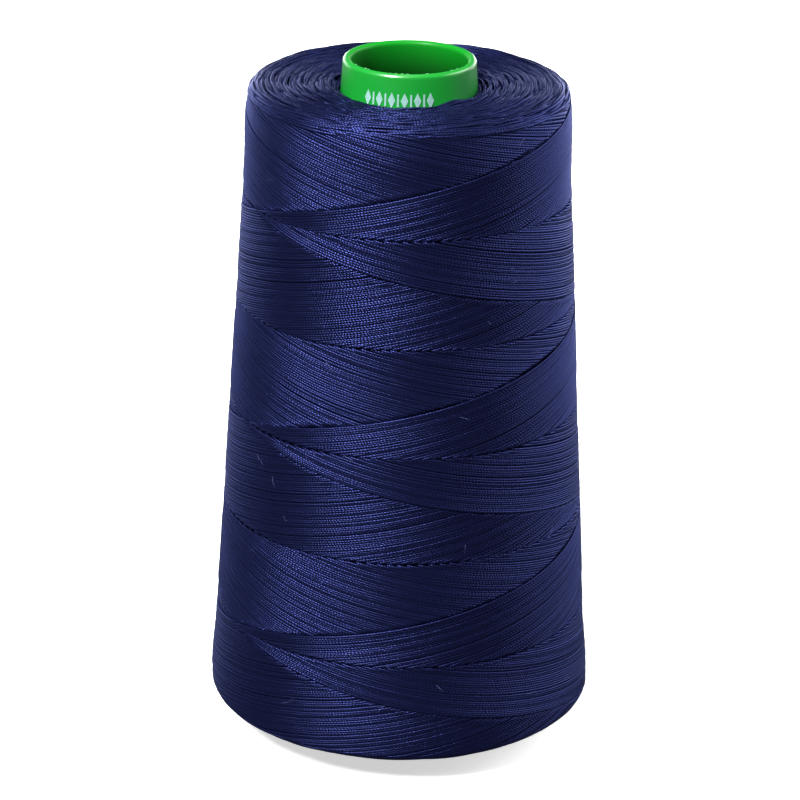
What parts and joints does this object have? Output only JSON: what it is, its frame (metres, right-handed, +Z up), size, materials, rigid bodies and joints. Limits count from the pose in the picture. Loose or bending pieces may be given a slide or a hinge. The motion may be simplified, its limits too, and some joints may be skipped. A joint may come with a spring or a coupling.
{
  "type": "cone of sewing thread",
  "caption": "Large cone of cross-wound sewing and quilting thread on a hollow tapered plastic core, open at both ends for a thread stand's pin.",
  "frame": {"origin": "centre of the core's base rim, on the plane that the cone stands on", "axes": "+Z up the core's axis towards the nose; -Y towards the front as pictured, +X to its right"},
  "size_m": [0.07, 0.07, 0.125],
  "materials": {
    "core_plastic": "moulded, glossy",
    "thread": "mercerised two-ply cotton, soft sheen",
    "label_paper": "uncoated paper"
  },
  "bodies": {
    "root": {"cone_core": "core_plastic", "wound_thread": "thread", "start_tail": "thread", "shade_label": "label_paper"}
  },
  "joints": []
}
